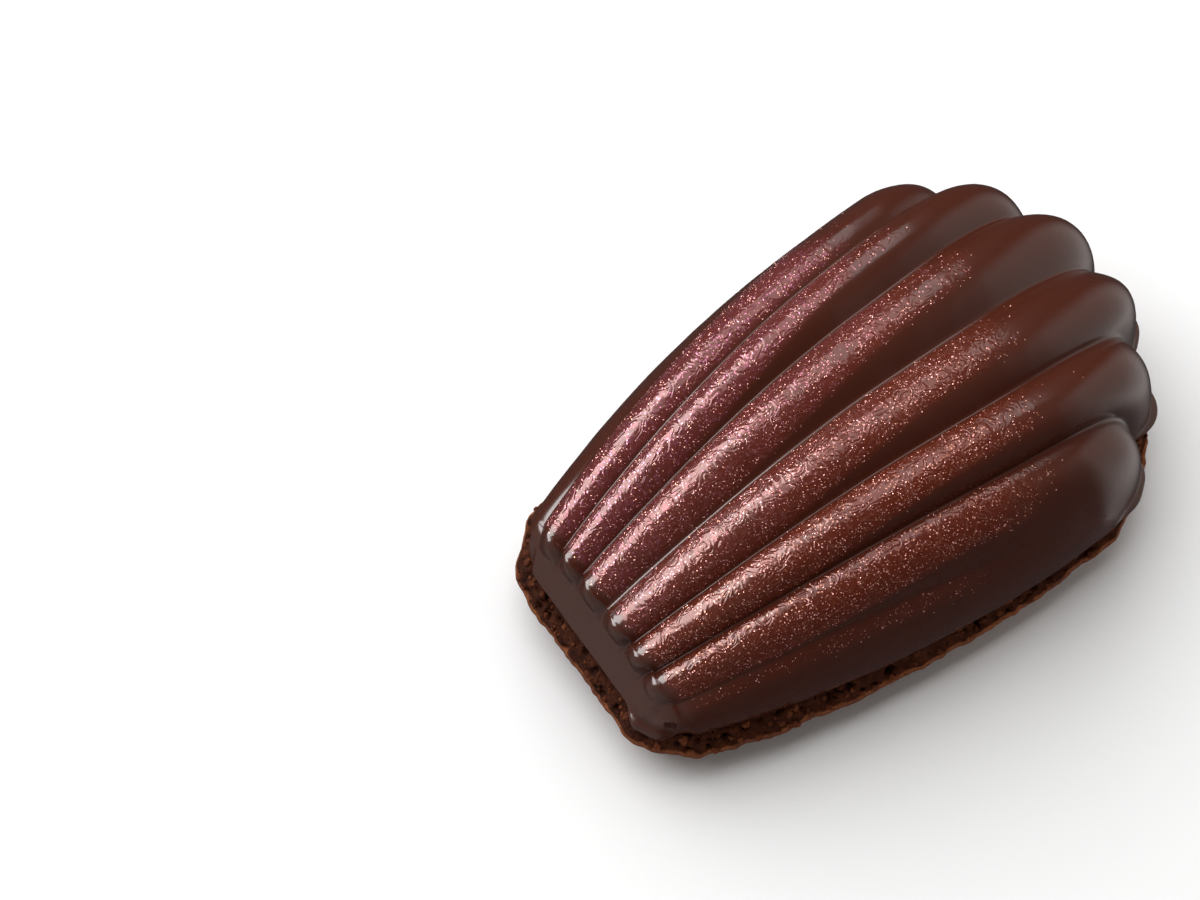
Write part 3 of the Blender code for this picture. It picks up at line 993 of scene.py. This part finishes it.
def crumb_material(sponge):
    """Crumbs of sponge and of toasted crust."""
    tree = MaterialTree("crumbs", IOR=1.4, Specular_IOR_Level=0.06)
    place = tree.place()
    toasted = tree.noise(place, 3 * MM).step(0.45, 0.6)
    mottle = tree.noise(place, 0.3 * MM, detail=3.0)
    body = tree.mix_colour(toasted * mottle * 0.4, sponge.crumb, sponge.rim)
    return tree.finish(Base_Color=body, Roughness=0.55 + mottle * 0.3,
                       Normal=tree.bump(mottle, 0.1 * MM))


class MADELEINE_OT_crumbs(bpy.types.Operator):
    """Scatter loose crumbs over the torn ledge"""

    bl_idname = "madeleine.crumbs"
    bl_label = "Crumbs"

    def execute(self, context):
        settings = context.scene.madeleine
        crumbs = copy_of("chocolate_sponge", "loose_crumbs")
        crumb_tree(settings.crumbs, crumb_material(settings.sponge)).run_on(crumbs)
        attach(crumbs, "root")
        return {"FINISHED"}


def copy_of(source, name):
    """A new object with its own copy of a piece's mesh."""
    thing = bpy.data.objects.new(name, bpy.data.objects[source].data.copy())
    thing.data.materials.clear()
    bpy.context.scene.collection.objects.link(thing)
    return thing


# --- Stage -------------------------------------------------------------------

FLOOR_SIZE = 12
AIM_LIGHTS = Vector((0, 0, 0.015))
DIM_ROOM, PALE_ENDS = (0.05, 0.05, 0.052), (0.8, 0.78, 0.75)


def softbox(name, direction, distance, width, depth, power, mirrored):
    """A rectangular light that looks at the cake from a direction."""
    light = bpy.data.lights.new(name, "AREA")
    light.shape = "RECTANGLE"
    light.size = width
    light.size_y = depth
    light.energy = power
    lamp = bpy.data.objects.new(name, light)
    away = Vector(direction).normalized()
    lamp.location = AIM_LIGHTS + away * distance
    lamp.rotation_euler = away.to_track_quat("Z", "Y").to_euler()
    lamp.visible_glossy = mirrored
    lamp.visible_diffuse = not mirrored
    bpy.context.scene.collection.objects.link(lamp)
    return lamp


def make_floor(colour_of_floor):
    """A wide, pale, matte floor."""
    bm = bmesh.new()
    bmesh.ops.create_grid(bm, x_segments=2, y_segments=2, size=FLOOR_SIZE / 2)
    mesh = bpy.data.meshes.new("floor")
    bm.to_mesh(mesh)
    bm.free()
    floor = bpy.data.objects.new("floor", mesh)
    bpy.context.scene.collection.objects.link(floor)
    tree = MaterialTree("pale_floor", Roughness=0.9, Specular_IOR_Level=0.0)
    tone = tree.noise(tree.place(), 0.8)
    dimmed = tuple(part * 0.99 for part in colour_of_floor)
    mesh.materials.append(tree.finish(Base_Color=tree.mix_colour(tone, dimmed, tuple(colour_of_floor))))
    floor.visible_glossy = False


def make_camera(stage):
    """The camera, from its bearing, height angle, roll and distance."""
    back = Vector((math.sin(stage.azimuth) * math.cos(stage.elevation),
                   -math.cos(stage.azimuth) * math.cos(stage.elevation),
                   math.sin(stage.elevation)))
    level = (-back).cross(Vector((0, 0, 1))).normalized()
    upright = level.cross(-back)
    right = level * math.cos(stage.roll) + upright * math.sin(stage.roll)
    up = upright * math.cos(stage.roll) - level * math.sin(stage.roll)
    aim = MOULD_ORIGIN + Vector((stage.aim_x, stage.aim_y, stage.aim_z))
    camera = bpy.data.objects.new("camera", bpy.data.cameras.new("camera"))
    camera.data.lens = stage.lens
    camera.data.clip_start = 0.01
    turned = Matrix((right, up, back)).transposed()
    camera.matrix_world = Matrix.Translation(aim + back * stage.distance) @ turned.to_4x4()
    bpy.context.scene.collection.objects.link(camera)
    bpy.context.scene.camera = camera


def make_world():
    """A room, dim but for its two ends, that looks white behind the floor."""
    world = bpy.data.worlds.new("studio")
    world.use_nodes = True
    tree = Tree(world.node_tree)
    room = world.node_tree.nodes["Background"]
    seen = tree.add("ShaderNodeLightPath", {}, {}, "Is Camera Ray")
    along = tree.add("ShaderNodeSeparateXYZ", {}, {
        0: tree.add("ShaderNodeTexCoord", {}, {}, "Generated")}, "X")
    beyond = (along - along.other("Y") * 0.9).step(0.3, 0.9) * along.step(0.2, 0.6)
    ends = beyond + along.step(-0.4, -0.9) * 0.45
    room_tone = tree.mix_colour(ends, DIM_ROOM, PALE_ENDS)
    tone = tree.mix_colour(seen, room_tone, (0.95, 0.95, 0.95))
    world.node_tree.links.new(tone.socket, room.inputs["Color"])
    bpy.context.scene.world = world


class MADELEINE_OT_stage(bpy.types.Operator):
    """Set the floor, the studio lights and the camera"""

    bl_idname = "madeleine.stage"
    bl_label = "Stage"

    def execute(self, context):
        stage = context.scene.madeleine.stage
        make_camera(stage)
        make_floor(stage.floor)
        make_world()
        softbox("key", (-0.61, 0.68, 0.41), 0.9, 0.75, 0.64, stage.key_power, mirrored=True)
        softbox("window", (-0.032, 0.615, 0.788), 0.9, 0.76, 0.78, stage.window_power, mirrored=True)
        softbox("fill", (0.05, 0.6, 1), 1.0, 1.4, 1.4, stage.fill_power, mirrored=False)
        context.scene.view_settings.view_transform = "Standard"
        return {"FINISHED"}


# --- The add-on --------------------------------------------------------------

OPERATORS = (MADELEINE_OT_stage, MADELEINE_OT_chocolate_shell, MADELEINE_OT_sponge,
             MADELEINE_OT_lustre, MADELEINE_OT_crumbs)


class MADELEINE_PT_panel(bpy.types.Panel):
    """Lists the pieces and their settings"""

    bl_idname = "MADELEINE_PT_panel"
    bl_label = "Madeleine"
    bl_space_type = "VIEW_3D"
    bl_region_type = "UI"
    bl_category = "Madeleine"

    def draw(self, context):
        settings = context.scene.madeleine
        for operator in OPERATORS:
            self.layout.operator(operator.bl_idname)
        for name in MadeleineSettings.__annotations__:
            box = self.layout.box()
            box.label(text=name.capitalize())
            for item in getattr(settings, name).__annotations__:
                box.prop(getattr(settings, name), item)


CLASSES = (MouldSizes, ChocolateFinish, SpongeFinish, LustreFinish, CrumbFinish, StageSettings,
           MadeleineSettings, *OPERATORS, MADELEINE_PT_panel)


def register():
    for each in CLASSES:
        bpy.utils.register_class(each)
    bpy.types.Scene.madeleine = PointerProperty(
        type=MadeleineSettings, name="Madeleine", description="Settings of the cake")


def unregister():
    del bpy.types.Scene.madeleine
    for each in reversed(CLASSES):
        bpy.utils.unregister_class(each)


def main():
    register()
    for operator in OPERATORS:
        group, name = operator.bl_idname.split(".")
        getattr(getattr(bpy.ops, group), name)()


if __name__ == "__main__":
    main()
